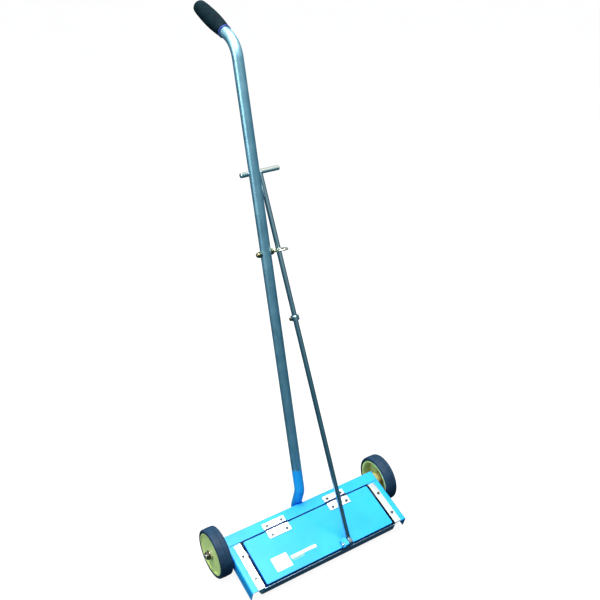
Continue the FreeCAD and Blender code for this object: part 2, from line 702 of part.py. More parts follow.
def stop_collar():
    """Ring clamped on the pull rod. It meets the guide eye before the lid can fall back over its hinge."""
    half = ROD_UP * (COLLAR_LENGTH / 2)
    ring = rod_between(COLLAR_CENTRE - half, COLLAR_CENTRE + half, COLLAR_RADIUS)
    ring = ring.makeChamfer(END_CHAMFER, closed_edges(ring))
    ring = ring.cut(rod_between(ROD_FOOT, ROD_TOP, ROD_RADIUS + SEAT_CLEARANCE))
    room = 2 * COLLAR_RADIUS
    tapping = bar_x(
        COLLAR_CENTRE.x - room, COLLAR_CENTRE.x,
        COLLAR_CENTRE.y, COLLAR_CENTRE.z, COLLAR_SCREW_RADIUS + SEAT_CLEARANCE,
    )
    flat = box(
        COLLAR_CENTRE.x - room, COLLAR_CENTRE.x - COLLAR_RADIUS + COLLAR_FLAT_DEPTH,
        COLLAR_CENTRE.y - room, COLLAR_CENTRE.y + room, COLLAR_CENTRE.z - room, COLLAR_CENTRE.z + room,
    )
    return ring.cut([tapping, flat])


def collar_screw():
    """Hexagon-head screw that clamps the stop collar."""
    seat_x = COLLAR_CENTRE.x - COLLAR_RADIUS + COLLAR_FLAT_DEPTH
    head = hexagon_x(
        seat_x - COLLAR_SCREW_HEAD, seat_x, COLLAR_CENTRE.y, COLLAR_CENTRE.z, COLLAR_SCREW_FLATS
    )
    shank = bar_x(
        seat_x - 1, COLLAR_CENTRE.x - ROD_RADIUS / 2 - 1,
        COLLAR_CENTRE.y, COLLAR_CENTRE.z, COLLAR_SCREW_RADIUS,
    )
    return head.fuse(shank)


def pivot_pin():
    """Headed pin that joins the pull rod's eye to the lug."""
    eye_right = ROD_FOOT_X + ROD_EYE_THICKNESS / 2
    shank = bar_x(LUG_LEFT_X, eye_right + PIVOT_TAIL_PROUD, PIVOT_Y, PIVOT_Z, PIVOT_PIN_RADIUS)
    head = bar_x(
        LUG_LEFT_X - PIVOT_HEAD_PROUD, LUG_LEFT_X + PIVOT_HEAD_SUNK,
        PIVOT_Y, PIVOT_Z, PIVOT_HEAD_RADIUS,
    )
    rim = [edge for edge in closed_edges(head) if edge.CenterOfMass.x < LUG_LEFT_X]
    return shank.fuse(head.makeFillet(PIVOT_HEAD_PROUD, rim))


# ---- Handle --------------------------------------------------------------------------------------
def handle_socket():
    """Painted stub welded upright on the rear flange, bent back to the handle's lean."""
    foot = Vector(0, HANDLE_AXIS_Y, HANDLE_FOOT_Z)
    stub = bent_tube(
        [foot, HANDLE_KINK, SOCKET_END], [HANDLE_KINK_RADIUS], TUBE_RADIUS, TUBE_RADIUS - TUBE_WALL
    )
    spigot_outer = TUBE_RADIUS - TUBE_WALL - SEAT_CLEARANCE
    spigot_start = SOCKET_END - HANDLE_UP * SPIGOT_SEATING
    spigot_end = SOCKET_END + HANDLE_UP * SPIGOT_LENGTH
    spigot = rod_between(SOCKET_END, spigot_end, spigot_outer)
    liner = rod_between(spigot_start, SOCKET_END, TUBE_RADIUS - TUBE_WALL)
    bore = rod_between(spigot_start - HANDLE_UP, spigot_end + HANDLE_UP, spigot_outer - TUBE_WALL)
    return stub.fuse([spigot, liner]).cut(bore)


def handle_weld():
    """Fillet welds between the stub and the rear flange, one down each side."""
    bead = box(
        -WELD_HALF_WIDTH, WELD_HALF_WIDTH, DECK_REAR_Y, DECK_REAR_Y + WELD_DEPTH,
        HANDLE_FOOT_Z + WELD_ABOVE_FOOT, -CHANNEL_BEND_RADIUS,
    )
    core = Part.makeCylinder(TUBE_RADIUS, FLANGE_DEPTH, Vector(0, HANDLE_AXIS_Y, -FLANGE_DEPTH))
    return group(bead.cut(core).Solids)


def handle_tube():
    """Bare steel tube from the stub to the grip, bent back at the top."""
    end = Vector(0, GRIP_START_Y + GRIP_LENGTH - GRIP_END_WALL, HANDLE_CORNER.z)
    path = [SOCKET_END, HANDLE_CORNER, end]
    tube = bent_tube(path, [HANDLE_TOP_RADIUS], TUBE_RADIUS, TUBE_RADIUS - TUBE_WALL)
    bolt_hole = bar_x(
        -TUBE_RADIUS - 1, TUBE_RADIUS + 1, EYE_ON_TUBE.y, EYE_ON_TUBE.z, EYE_SHANK_RADIUS + HOLE_CLEARANCE
    )
    return tube.cut(bolt_hole)


def handle_grip():
    """Barrel-shaped rubber grip with a flange round its mouth and a closed, blunt end."""
    middle = GRIP_LENGTH * GRIP_BELLY_PLACE
    tip = GRIP_LENGTH
    start = GRIP_START_Y
    z = HANDLE_CORNER.z

    def at(along, radius):
        return Vector(0, start + along, z + radius)

    neck = at(GRIP_FLANGE_LENGTH, GRIP_MOUTH_RADIUS)
    shoulder = at(tip - GRIP_SHOULDER, GRIP_SHOULDER_RADIUS)
    end_rim = at(tip, GRIP_END_RADIUS)
    outline = Part.Wire(
        [
            Part.makeLine(at(0, 0), at(0, GRIP_FLANGE_RADIUS)),
            Part.makeLine(at(0, GRIP_FLANGE_RADIUS), at(GRIP_FLANGE_LENGTH, GRIP_FLANGE_RADIUS)),
            Part.makeLine(at(GRIP_FLANGE_LENGTH, GRIP_FLANGE_RADIUS), neck),
            Part.Arc(neck, at(middle, GRIP_BELLY_RADIUS), shoulder).toShape(),
            Part.makeLine(shoulder, end_rim),
            Part.makeLine(end_rim, at(tip, 0)),
            Part.makeLine(at(tip, 0), at(0, 0)),
        ]
    )
    barrel = Part.Face(outline).revolve(Vector(0, start, z), Vector(0, 1, 0), 360)
    mouth = Vector(0, start - 1, z)
    end_wall = Vector(0, start + GRIP_LENGTH - GRIP_END_WALL, z)
    return barrel.cut(rod_between(mouth, end_wall, TUBE_RADIUS + SEAT_CLEARANCE))


# ---- Guide eye -----------------------------------------------------------------------------------
def guide_eye_bolt():
    """Eye bolt through the tube. Its long eye lets the pull rod lean as the lid swings."""
    radius = EYE_INNER_RADIUS + EYE_WIRE_RADIUS
    towards_front = EYE_SLOT_DIRECTION * (-1 if EYE_SLOT_DIRECTION.y > 0 else 1)
    across = Vector(radius, 0, 0)
    rear = EYE_CENTRE - towards_front * EYE_REAR_ROOM
    front = rear + towards_front * EYE_SLOT
    loop = [
        Part.Arc(rear - across, rear - towards_front * radius, rear + across).toShape(),
        Part.makeLine(rear + across, front + across),
        Part.Arc(front + across, front + towards_front * radius, front - across).toShape(),
        Part.makeLine(front - across, rear - across),
    ]
    section = Part.Wire(Part.Circle(rear + across, towards_front, EYE_WIRE_RADIUS).toShape())
    path = Part.Wire([loop[1], loop[2], loop[3], loop[0]])
    ring = path.makePipeShell([section], True, False)
    shank = bar_x(EYE_SHANK_END_X, EYE_CENTRE_X - radius, EYE_ON_TUBE.y, EYE_ON_TUBE.z, EYE_SHANK_RADIUS)
    return ring.fuse(shank)


def guide_nut():
    """Plain nut that locks the eye bolt on the rod's side of the tube."""
    x0 = TUBE_RADIUS + NUT_GAP
    x1 = x0 + EYE_NUT_HEIGHT
    nut = hexagon_x(x0, x1, EYE_ON_TUBE.y, EYE_ON_TUBE.z, EYE_NUT_FLATS)
    bore = bar_x(x0 - 1, x1 + 1, EYE_ON_TUBE.y, EYE_ON_TUBE.z, EYE_SHANK_RADIUS + SEAT_CLEARANCE)
    return nut.cut(bore)


def guide_acorn_nut():
    """Domed nut on the far end of the eye bolt."""
    seat_x = -TUBE_RADIUS - NUT_GAP
    dome_x = seat_x - ACORN_FLATS_LENGTH
    flats = hexagon_x(dome_x, seat_x, EYE_ON_TUBE.y, EYE_ON_TUBE.z, EYE_NUT_FLATS)
    dome = Part.makeSphere(ACORN_DOME_RADIUS, Vector(dome_x, EYE_ON_TUBE.y, EYE_ON_TUBE.z))
    room = 2 * ACORN_DOME_RADIUS
    past_seat = box(
        seat_x, seat_x + room, EYE_ON_TUBE.y - room, EYE_ON_TUBE.y + room,
        EYE_ON_TUBE.z - room, EYE_ON_TUBE.z + room,
    )
    bore_radius = EYE_SHANK_RADIUS + SEAT_CLEARANCE
    bore = bar_x(EYE_SHANK_END_X - NUT_GAP, seat_x + 1, EYE_ON_TUBE.y, EYE_ON_TUBE.z, bore_radius)
    return flats.fuse(dome).cut([past_seat, bore])


# ---- Wheels and axle -----------------------------------------------------------------------------
def axle():
    """Through axle that both wheels turn on."""
    end = WHEEL_OUTER_X + WHEEL_END_PLAY + AXLE_WASHER_THICKNESS + AXLE_NUT_HEIGHT + AXLE_TIP
    bar = bar_x(-end, end, WHEEL_AXIS_Y, WHEEL_AXIS_Z, AXLE_RADIUS)
    return bar.makeChamfer(END_CHAMFER, closed_edges(bar))


def axle_ring(x0, length, outer):
    """A pair of rings on the axle, one at each side."""
    ring = ring_x(x0, x0 + length, WHEEL_AXIS_Y, WHEEL_AXIS_Z, outer, AXLE_RADIUS + SEAT_CLEARANCE)
    return group([ring, mirror_x(ring)])


def axle_spacers():
    """Spacers between the rails and the hubs."""
    return axle_ring(HALF_WIDTH, SPACER_LENGTH, SPACER_RADIUS)


def axle_washers():
    """Washers outside the hubs."""
    return axle_ring(WHEEL_OUTER_X + WHEEL_END_PLAY, AXLE_WASHER_THICKNESS, AXLE_WASHER_RADIUS)


def axle_nuts():
    """Nuts on the axle's ends."""
    x0 = WHEEL_OUTER_X + WHEEL_END_PLAY + AXLE_WASHER_THICKNESS
    nut = hexagon_x(x0, x0 + AXLE_NUT_HEIGHT, WHEEL_AXIS_Y, WHEEL_AXIS_Z, AXLE_NUT_FLATS)
    nut = nut.cut(
        bar_x(
            x0 - 1, x0 + AXLE_NUT_HEIGHT + 1, WHEEL_AXIS_Y, WHEEL_AXIS_Z, AXLE_RADIUS + SEAT_CLEARANCE
        )
    )
    return group([nut, mirror_x(nut)])


def tyre(side):
    """Solid rubber tyre with rounded shoulders."""
    ring = bar_x(WHEEL_INNER_X, WHEEL_OUTER_X, WHEEL_AXIS_Y, WHEEL_AXIS_Z, WHEEL_RADIUS)
    ring = ring.makeFillet(TYRE_SHOULDER_RADIUS, closed_edges(ring))
    ring = ring.cut(
        bar_x(WHEEL_INNER_X - 1, WHEEL_OUTER_X + 1, WHEEL_AXIS_Y, WHEEL_AXIS_Z, HUB_RADIUS + SEAT_CLEARANCE)
    )
    return on_side(ring, side)


def hub(side):
    """Moulded hub: a nearly flat outer face, and a deep ring-shaped recess round the boss inside."""
    outer_face = WHEEL_OUTER_X - HUB_FACE_INSET
    web_outer = outer_face - HUB_FACE_RECESS
    web_inner = web_outer - HUB_WEB_THICKNESS
    inner_face = WHEEL_INNER_X + HUB_FACE_INSET
    disc = bar_x(inner_face, outer_face, WHEEL_AXIS_Y, WHEEL_AXIS_Z, HUB_RADIUS)
    face_recess = bar_x(web_outer, outer_face + 1, WHEEL_AXIS_Y, WHEEL_AXIS_Z, HUB_RIM_INNER_RADIUS)
    rear_recess = ring_x(
        inner_face - 1, web_inner, WHEEL_AXIS_Y, WHEEL_AXIS_Z, HUB_RIM_INNER_RADIUS, HUB_BOSS_RADIUS
    )
    boss_end = bar_x(WHEEL_INNER_X, inner_face, WHEEL_AXIS_Y, WHEEL_AXIS_Z, HUB_BOSS_RADIUS)
    bore = bar_x(
        WHEEL_INNER_X - 1, WHEEL_OUTER_X + 1, WHEEL_AXIS_Y, WHEEL_AXIS_Z, BUSH_RADIUS + SEAT_CLEARANCE
    )
    wheel_centre = disc.cut([face_recess, rear_recess]).fuse(boss_end).removeSplitter()
    return on_side(wheel_centre.cut(bore), side)


def bush(side):
    """Bearing bush pressed into the hub. It runs on the axle."""
    sleeve = ring_x(
        WHEEL_INNER_X, WHEEL_OUTER_X, WHEEL_AXIS_Y, WHEEL_AXIS_Z,
        BUSH_RADIUS, AXLE_RADIUS + RUNNING_CLEARANCE,
    )
    return on_side(sleeve, side)


# ---- All pieces ----------------------------------------------------------------------------------
def all_pieces():
    """Every node of the sweeper, by name, in the deck frame."""
    pieces = {
        "rear_channel": rear_channel(),
        "tray": tray(),
        "tray_screws": tray_screws(),
        "hinge_deck_screws": hinge_deck_screws(),
        "hinge_lid_screws": hinge_lid_screws(),
        "hinge_pins": hinge_pins(),
        "lid_cover": lid_cover(),
        "magnet_yoke": magnet_yoke(),
        "centre_pole": centre_pole(),
        "magnet_blocks": magnet_blocks(),
        "pull_lug": pull_lug(),
        "pull_rod": pull_rod(),
        "t_bar": t_bar(),
        "stop_collar": stop_collar(),
        "collar_screw": collar_screw(),
        "pivot_pin": pivot_pin(),
        "handle_socket": handle_socket(),
        "handle_weld": handle_weld(),
        "handle_tube": handle_tube(),
        "handle_grip": handle_grip(),
        "guide_eye_bolt": guide_eye_bolt(),
        "guide_nut": guide_nut(),
        "guide_acorn_nut": guide_acorn_nut(),
        "axle": axle(),
        "axle_spacers": axle_spacers(),
        "axle_washers": axle_washers(),
        "axle_nuts": axle_nuts(),
    }
    for name, side in SIDES.items():
        pieces[name + "_rail"] = side_rail(side)
        pieces[name + "_hinge_deck_leaf"] = deck_leaf(side)
        pieces[name + "_hinge_lid_leaf"] = lid_leaf(side)
        pieces[name + "_tyre"] = tyre(side)
        pieces[name + "_hub"] = hub(side)
        pieces[name + "_bush"] = bush(side)
    return pieces


def standing_placement(pieces):
    """Tips the sweeper onto its wheels and nose and puts the origin on the floor under its box's centre."""
    tilt = FreeCAD.Placement(Vector(0, 0, 0), FreeCAD.Rotation(X_AXIS, STANDING_TILT))
    whole = Part.makeCompound([shape.copy() for shape in pieces.values()])
    whole.Placement = tilt
    bounds = whole.optimalBoundingBox()
    shift = Vector(0, -(bounds.YMin + bounds.YMax) / 2, -bounds.ZMin)
    return FreeCAD.Placement(shift, FreeCAD.Rotation(X_AXIS, STANDING_TILT))


def main():
    """Writes one STEP file per node."""
    os.makedirs("parts", exist_ok=True)
    pieces = all_pieces()
    standing = standing_placement(pieces)
    for name, shape in pieces.items():
        if not shape.isValid():
            print("not valid:", name)
        shape.Placement = standing.multiply(shape.Placement)
        shape.exportStep("parts/" + name + ".step")
    print("standing tilt", round(STANDING_TILT, 3), "shift", standing.Base)
    print("hinge axis at", standing.multVec(Vector(0, 0, HINGE_AXIS_Z)))
    print("rod pivot at", standing.multVec(PIVOT))
    print("guide eye at", standing.multVec(EYE_CENTRE))


main()
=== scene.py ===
import json
import math

import bmesh
import bpy
from mathutils import Matrix, Vector


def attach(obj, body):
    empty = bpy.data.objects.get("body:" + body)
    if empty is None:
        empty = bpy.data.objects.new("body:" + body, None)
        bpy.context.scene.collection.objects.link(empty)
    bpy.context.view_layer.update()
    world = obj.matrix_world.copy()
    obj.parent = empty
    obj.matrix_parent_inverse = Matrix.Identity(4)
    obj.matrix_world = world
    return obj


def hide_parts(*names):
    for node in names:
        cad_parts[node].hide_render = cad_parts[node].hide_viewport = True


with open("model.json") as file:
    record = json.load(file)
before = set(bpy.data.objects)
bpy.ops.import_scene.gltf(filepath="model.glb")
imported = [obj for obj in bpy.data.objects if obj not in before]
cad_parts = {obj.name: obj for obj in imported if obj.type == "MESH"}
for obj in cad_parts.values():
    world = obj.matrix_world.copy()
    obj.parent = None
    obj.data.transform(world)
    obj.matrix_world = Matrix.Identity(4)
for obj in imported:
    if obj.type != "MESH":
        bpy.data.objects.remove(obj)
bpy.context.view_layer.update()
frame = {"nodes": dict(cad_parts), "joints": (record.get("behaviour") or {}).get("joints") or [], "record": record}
RECORD = frame["record"]
NODES = frame["nodes"]

# Lengths of pieces are written in millimetres and turned into metres with MM.
MM = 0.001
SIDES = {"left": -1, "right": 1}


# ---- Places taken from the imported record ------------------------------------------------------------
def joint_place(name):
    """The anchor of a joint in the row frame."""
    for joint in frame["joints"]:
        if joint["name"] == name:
            return Vector(joint["pos_m"])
    raise ValueError(name)


HINGE = joint_place("lid_hinge")
ROD_PIVOT = joint_place("rod_pivot")
# The same two points in the deck's own frame, which lies flat: their slope there gives the deck's tilt.
HINGE_ABOVE_DECK = 4.0 * MM
PIVOT_IN_DECK = Vector((51.5, -122.0, 11.0)) * MM
DECK_TILT = math.atan2(HINGE.z - ROD_PIVOT.z, HINGE.y - ROD_PIVOT.y) - math.atan2(
    HINGE_ABOVE_DECK - PIVOT_IN_DECK.z, -PIVOT_IN_DECK.y
)
DECK = (
    Matrix.Translation(HINGE)
    @ Matrix.Rotation(DECK_TILT, 4, "X")
    @ Matrix.Translation((0, 0, -HINGE_ABOVE_DECK))
)


def on_deck(x, y, z):
    """A point given in millimetres in the deck's frame, in the row frame."""
    return DECK @ (Vector((x, y, z)) * MM)


# Angles about X from the row's upright to the handle's and the pull rod's lines.
HANDLE_LEAN = math.radians(29.4)
HANDLE_TURN = DECK_TILT - HANDLE_LEAN
ROD_FOOT = on_deck(51.5, -111.5, 13.5)
ROD_AT_EYE = on_deck(34.2, 351.37, 585.0)
ROD_UP = (ROD_AT_EYE - ROD_FOOT).normalized()
ROD_TURN = -math.atan2(ROD_UP.y, ROD_UP.z)
ROD_ABOVE_EYE = 183.0
ROD_TOP = ROD_AT_EYE + ROD_UP * ROD_ABOVE_EYE * MM
DECK_AXES = DECK.to_3x3()
# Sizes in the deck's frame, in millimetres.
LID_TOP_Z = 3.0
HANDLE_TOP_Z = 988.5
GRIP_START_Y = 628.5
GRIP_LENGTH = 126.5
GRIP_RIM_LENGTH = 2.6
ROD_RADIUS = 6.0
LABEL_THICKNESS = 0.16


# ---- Meshes -----------------------------------------------------------------------------------------
def mesh_object(name, bm, smooth=True):
    """A finished bmesh as an object in the scene."""
    bmesh.ops.recalc_face_normals(bm, faces=bm.faces)
    mesh = bpy.data.meshes.new(name)
    bm.to_mesh(mesh)
    bm.free()
    for face in mesh.polygons:
        face.use_smooth = smooth
    obj = bpy.data.objects.new(name, mesh)
    bpy.context.scene.collection.objects.link(obj)
    return obj


def lathe(name, profile, steps, placement, radius_at=None):
    """Turns an open (along, radius) profile round the local Z axis. radius_at may add relief by angle."""
    bm = bmesh.new()
    rings = []
    for along, radius in profile:
        if radius < 1e-7:
            rings.append([bm.verts.new(placement @ Vector((0, 0, along)))])
            continue
        ring = []
        for i in range(steps):
            angle = 2 * math.pi * i / steps
            r = radius + (radius_at(angle, along, radius) if radius_at else 0)
            ring.append(bm.verts.new(placement @ Vector((r * math.cos(angle), r * math.sin(angle), along))))
        rings.append(ring)
    for a, b in zip(rings, rings[1:]):
        for i in range(steps):
            j = (i + 1) % steps
            if len(a) == 1 and len(b) == 1:
                continue
            if len(a) == 1:
                bm.faces.new((a[0], b[i], b[j]))
            elif len(b) == 1:
                bm.faces.new((a[i], b[0], a[j]))
            else:
                bm.faces.new((a[i], b[i], b[j], a[j]))
    return mesh_object(name, bm)


def ring_lathe(name, profile, steps, placement, radius_at=None):
    """Turns a closed (along, radius) profile round the local Z axis."""
    bm = bmesh.new()
    rings = []
    for along, radius in profile:
        ring = []
        for i in range(steps):
            angle = 2 * math.pi * i / steps
            r = radius + (radius_at(angle, along, radius) if radius_at else 0)
            ring.append(bm.verts.new(placement @ Vector((r * math.cos(angle), r * math.sin(angle), along))))
        rings.append(ring)
    for k, a in enumerate(rings):
        b = rings[(k + 1) % len(rings)]
        for i in range(steps):
            j = (i + 1) % steps
            bm.faces.new((a[i], b[i], b[j], a[j]))
    return mesh_object(name, bm)


def along_axis(origin, direction):
    """A placement whose local Z runs along a direction from an origin."""
    return Matrix.Translation(origin) @ direction.to_track_quat("Z", "Y").to_matrix().to_4x4()


def shade_by_angle(obj, degrees=32):
    """Smooth shading that keeps edges sharper than the angle."""
    mesh = obj.data
    bm = bmesh.new()
    bm.from_mesh(mesh)
    limit = math.radians(degrees)
    for edge in bm.edges:
        edge.smooth = len(edge.link_faces) != 2 or edge.calc_face_angle(0) < limit
    bm.to_mesh(mesh)
    bm.free()


def soften(node, width):
    """Rounds a CAD node's sharp edges a little with modifiers, which leave its mesh as packed."""
    obj = NODES[node]
    weld = obj.modifiers.new("join_facets", "WELD")
    weld.merge_threshold = 2e-6
    flat = obj.modifiers.new("flat_faces", "DECIMATE")
    flat.decimate_type = "DISSOLVE"
    flat.angle_limit = math.radians(0.6)
    rounding = obj.modifiers.new("rounded_edges", "BEVEL")
    rounding.width = width * MM
    rounding.segments = 2
    rounding.limit_method = "ANGLE"
    rounding.angle_limit = math.radians(35)
    rounding.use_clamp_overlap = True
    rounding.miter_outer = "MITER_ARC"
    even = obj.modifiers.new("flat_face_shading", "WEIGHTED_NORMAL")
    even.mode = "FACE_AREA"
    even.weight = 100


# ---- Materials --------------------------------------------------------------------------------------
class Look:
    """A procedural material. Its methods add the few kinds of node used here and return their outputs."""

    def __init__(self, name, **sockets):
        self.material = bpy.data.materials.new(name)
        self.material.use_nodes = True
        self.tree = self.material.node_tree
        self.tree.nodes.clear()
        self.shader = self.tree.nodes.new("ShaderNodeBsdfPrincipled")
        output = self.tree.nodes.new("ShaderNodeOutputMaterial")
        self.tree.links.new(self.shader.outputs["BSDF"], output.inputs["Surface"])
        for socket, value in sockets.items():
            self.shader.inputs[socket.replace("_", " ")].default_value = value
        self.place = self.tree.nodes.new("ShaderNodeTexCoord").outputs["Object"]

    def feed(self, socket, source):
        """A number, colour or another node's output into a socket."""
        if isinstance(source, bpy.types.NodeSocket):
            self.tree.links.new(source, socket)
        elif source is not None:
            socket.default_value = source

    def stretched(self, sx, sy, sz, tilt=0.0):
        """Object coordinates scaled along the deck's own axes."""
        node = self.tree.nodes.new("ShaderNodeMapping")
        node.vector_type = "TEXTURE"
        node.inputs["Rotation"].default_value = (tilt, 0, 0)
        node.inputs["Scale"].default_value = (1 / sx, 1 / sy, 1 / sz)
        self.feed(node.inputs["Vector"], self.place)
        return node.outputs["Vector"]

    def noise(self, scale, detail=3.0, rough=0.5, distortion=0.0, place=None):
        """Fractal noise, with scale in features per metre."""
        node = self.tree.nodes.new("ShaderNodeTexNoise")
        self.feed(node.inputs["Vector"], place or self.place)
        node.inputs["Scale"].default_value = scale
        node.inputs["Detail"].default_value = detail
        node.inputs["Roughness"].default_value = rough
        node.inputs["Distortion"].default_value = distortion
        return node.outputs["Fac"]

    def cells(self, scale, feature="F1", place=None):
        """Distance from scattered points."""
        node = self.tree.nodes.new("ShaderNodeTexVoronoi")
        node.feature = feature
        self.feed(node.inputs["Vector"], place or self.place)
        node.inputs["Scale"].default_value = scale
        return node.outputs["Distance"]

    def range(self, value, low, high, to_low=0.0, to_high=1.0):
        """Moves a value from one range to another, held at the ends."""
        node = self.tree.nodes.new("ShaderNodeMapRange")
        node.interpolation_type = "SMOOTHSTEP"
        self.feed(node.inputs["Value"], value)
        node.inputs["From Min"].default_value = low
        node.inputs["From Max"].default_value = high
        node.inputs["To Min"].default_value = to_low
        node.inputs["To Max"].default_value = to_high
        return node.outputs["Result"]

    def maths(self, kind, a, b=None):
        """One arithmetic step."""
        node = self.tree.nodes.new("ShaderNodeMath")
        node.operation = kind
        self.feed(node.inputs[0], a)
        self.feed(node.inputs[1], b)
        return node.outputs["Value"]

    def blend(self, share, first, second):
        """Two colours mixed by a share from 0 to 1."""
        node = self.tree.nodes.new("ShaderNodeMix")
        node.data_type = "RGBA"
        self.feed(node.inputs["Factor"], share)
        self.feed(node.inputs[6], first)
        self.feed(node.inputs[7], second)
        return node.outputs[2]

    def edges(self, radius):
        """Near 1 within a radius of a sharp edge and 0 on open faces."""
        bevel = self.tree.nodes.new("ShaderNodeBevel")
        bevel.samples = 4
        bevel.inputs["Radius"].default_value = radius * MM
        shape = self.tree.nodes.new("ShaderNodeNewGeometry")
        dot = self.tree.nodes.new("ShaderNodeVectorMath")
        dot.operation = "DOT_PRODUCT"
        self.feed(dot.inputs[0], bevel.outputs["Normal"])
        self.feed(dot.inputs[1], shape.outputs["Normal"])
        return self.range(dot.outputs["Value"], 0.995, 0.80)

    def shade_in_gaps(self, distance, low=0.35, high=0.80):
        """1 deep in narrow gaps and recesses and 0 on open faces: the mask for painted shade."""
        node = self.tree.nodes.new("ShaderNodeAmbientOcclusion")
        node.samples = 8
        node.inputs["Distance"].default_value = distance * MM
        return self.range(node.outputs["AO"], high, low)

    def deck_y(self):
        """How far behind the hinge line a point lies along the deck, in metres."""
        parts = self.tree.nodes.new("ShaderNodeSeparateXYZ")
        self.feed(parts.inputs["Vector"], self.place)
        behind = self.maths("SUBTRACT", parts.outputs["Y"], HINGE.y)
        above = self.maths("SUBTRACT", parts.outputs["Z"], HINGE.z)
        level = self.maths("MULTIPLY", behind, math.cos(DECK_TILT))
        upright = self.maths("MULTIPLY", above, math.sin(DECK_TILT))
        return self.maths("ADD", level, upright)

    def bump(self, height, depth, normal=None):
        """A bump of so many millimetres from a 0 to 1 height, on top of another one."""
        node = self.tree.nodes.new("ShaderNodeBump")
        node.inputs["Strength"].default_value = 1.0
        node.inputs["Distance"].default_value = depth * MM
        self.feed(node.inputs["Height"], height)
        if normal is not None:
            self.feed(node.inputs["Normal"], normal)
        return node.outputs["Normal"]

    def set(self, colour, roughness, normal=None):
        """Connects what varies over the surface."""
        self.feed(self.shader.inputs["Base Color"], colour)
        self.feed(self.shader.inputs["Roughness"], roughness)
        if normal is not None:
            self.feed(self.shader.inputs["Normal"], normal)
        return self.material


def paint(name="blue_enamel"):
    """Sky-blue stoved enamel: soft cloudiness, orange peel, fine scratches, rubbed edges and painted navy shade in
    narrow gaps.
    """
    look = Look(name, Specular_IOR_Level=0.25, Coat_Weight=0.06, Coat_Roughness=0.10)
    cloud = look.noise(7, 3, 0.55)
    speck = look.noise(420, 2, 0.5)
    colour = look.blend(look.range(cloud, 0.35, 0.65), (0.011, 0.318, 0.76, 1), (0.016, 0.360, 0.83, 1))
    colour = look.blend(look.range(speck, 0.62, 0.80, 0, 0.30), colour, (0.040, 0.39, 0.90, 1))
    grime = look.range(look.noise(14, 5, 0.65, 0.6), 0.60, 0.80, 0, 0.14)
    colour = look.blend(grime, colour, (0.030, 0.20, 0.50, 1))
    patchy = look.range(look.noise(130, 4, 0.7), 0.60, 0.70)
    rubbed = look.maths("MULTIPLY", look.edges(0.9), patchy)
    colour = look.blend(look.maths("MULTIPLY", rubbed, 0.45), colour, (0.10, 0.26, 0.40, 1))
    # Painted shade: narrow gaps and recesses are darkened towards navy.
    colour = look.blend(look.maths("MULTIPLY", look.shade_in_gaps(22), 0.70), colour, (0.001, 0.012, 0.75, 1))
    scratches = look.noise(60, 4, 0.7, 0.2, look.stretched(1.0, 26.0, 9.0, DECK_TILT))
    lines = look.range(scratches, 0.66, 0.74)
    roughness = look.range(look.noise(40, 4, 0.6), 0.3, 0.7, 0.28, 0.42)
    roughness = look.maths("ADD", roughness, look.maths("MULTIPLY", lines, 0.12))
    normal = look.bump(look.noise(620, 2, 0.45), 0.030)
    normal = look.bump(look.maths("MULTIPLY", rubbed, -1.0), 0.05, normal)
    return look.set(colour, roughness, normal)


def stainless(name="stainless_sheet"):
    """Brushed stainless sheet with a fine grain that runs from nose to deck, a painted dark slate-blue shade and
    reflection on the nose and painted black shade in its gaps.
    """
    look = Look(name, Metallic=1.0)
    grain = look.noise(260, 4, 0.55, 0, look.stretched(1.0, 0.05, 0.05, DECK_TILT))
    broad = look.noise(9, 3, 0.5)
    colour = look.blend(look.range(grain, 0.3, 0.7), (0.54, 0.60, 0.58, 1), (0.66, 0.71, 0.69, 1))
    smudge = look.range(look.noise(34, 4, 0.6, 0.8), 0.55, 0.75, 0, 0.16)
    colour = look.blend(smudge, colour, (0.60, 0.63, 0.62, 1))
    # Painted shade and reflection: the front nose is tinted dark slate-blue.
    nose = look.range(look.deck_y(), -125.6 * MM, -126.2 * MM)
    colour = look.blend(nose, colour, (0.22, 0.32, 0.44, 1))
    # Painted shade: narrow gaps in the tray are darkened nearly to black.
    gaps = look.maths("MULTIPLY", look.shade_in_gaps(30, 0.25, 0.70), 0.95)
    colour = look.blend(gaps, colour, (0.006, 0.010, 0.020, 1))
    fine = look.range(grain, 0.3, 0.7, 0.24, 0.34)
    roughness = look.maths("ADD", fine, look.range(broad, 0.3, 0.7, 0, 0.08))
    normal = look.bump(grain, 0.006)
    return look.set(colour, roughness, normal)


def plated(name, dark, light, rough_low, rough_high, spangle=260, edge_wear_and_highlight=0.5):
    """Plated or bright steel with faint blotches, tarnish, and edges lightened partly as rubbed wear and partly as
    a painted highlight.
    """
    look = Look(name, Metallic=1.0)
    blotch = look.noise(spangle, 4, 0.6)
    colour = look.blend(look.range(blotch, 0.35, 0.65), dark, light)
    dull = look.range(look.noise(55, 5, 0.65, 0.5), 0.56, 0.76, 0, 0.35)
    colour = look.blend(dull, colour, (0.30, 0.26, 0.20, 1))
    # Edges lightened towards near white: partly rubbed wear, partly a painted highlight.
    colour = look.blend(look.maths("MULTIPLY", look.edges(0.5), edge_wear_and_highlight), colour, (0.86, 0.86, 0.85, 1))
    roughness = look.range(look.noise(90, 4, 0.6), 0.3, 0.7, rough_low, rough_high)
    normal = look.bump(look.noise(700, 3, 0.5), 0.012)
    return look.set(colour, roughness, normal)


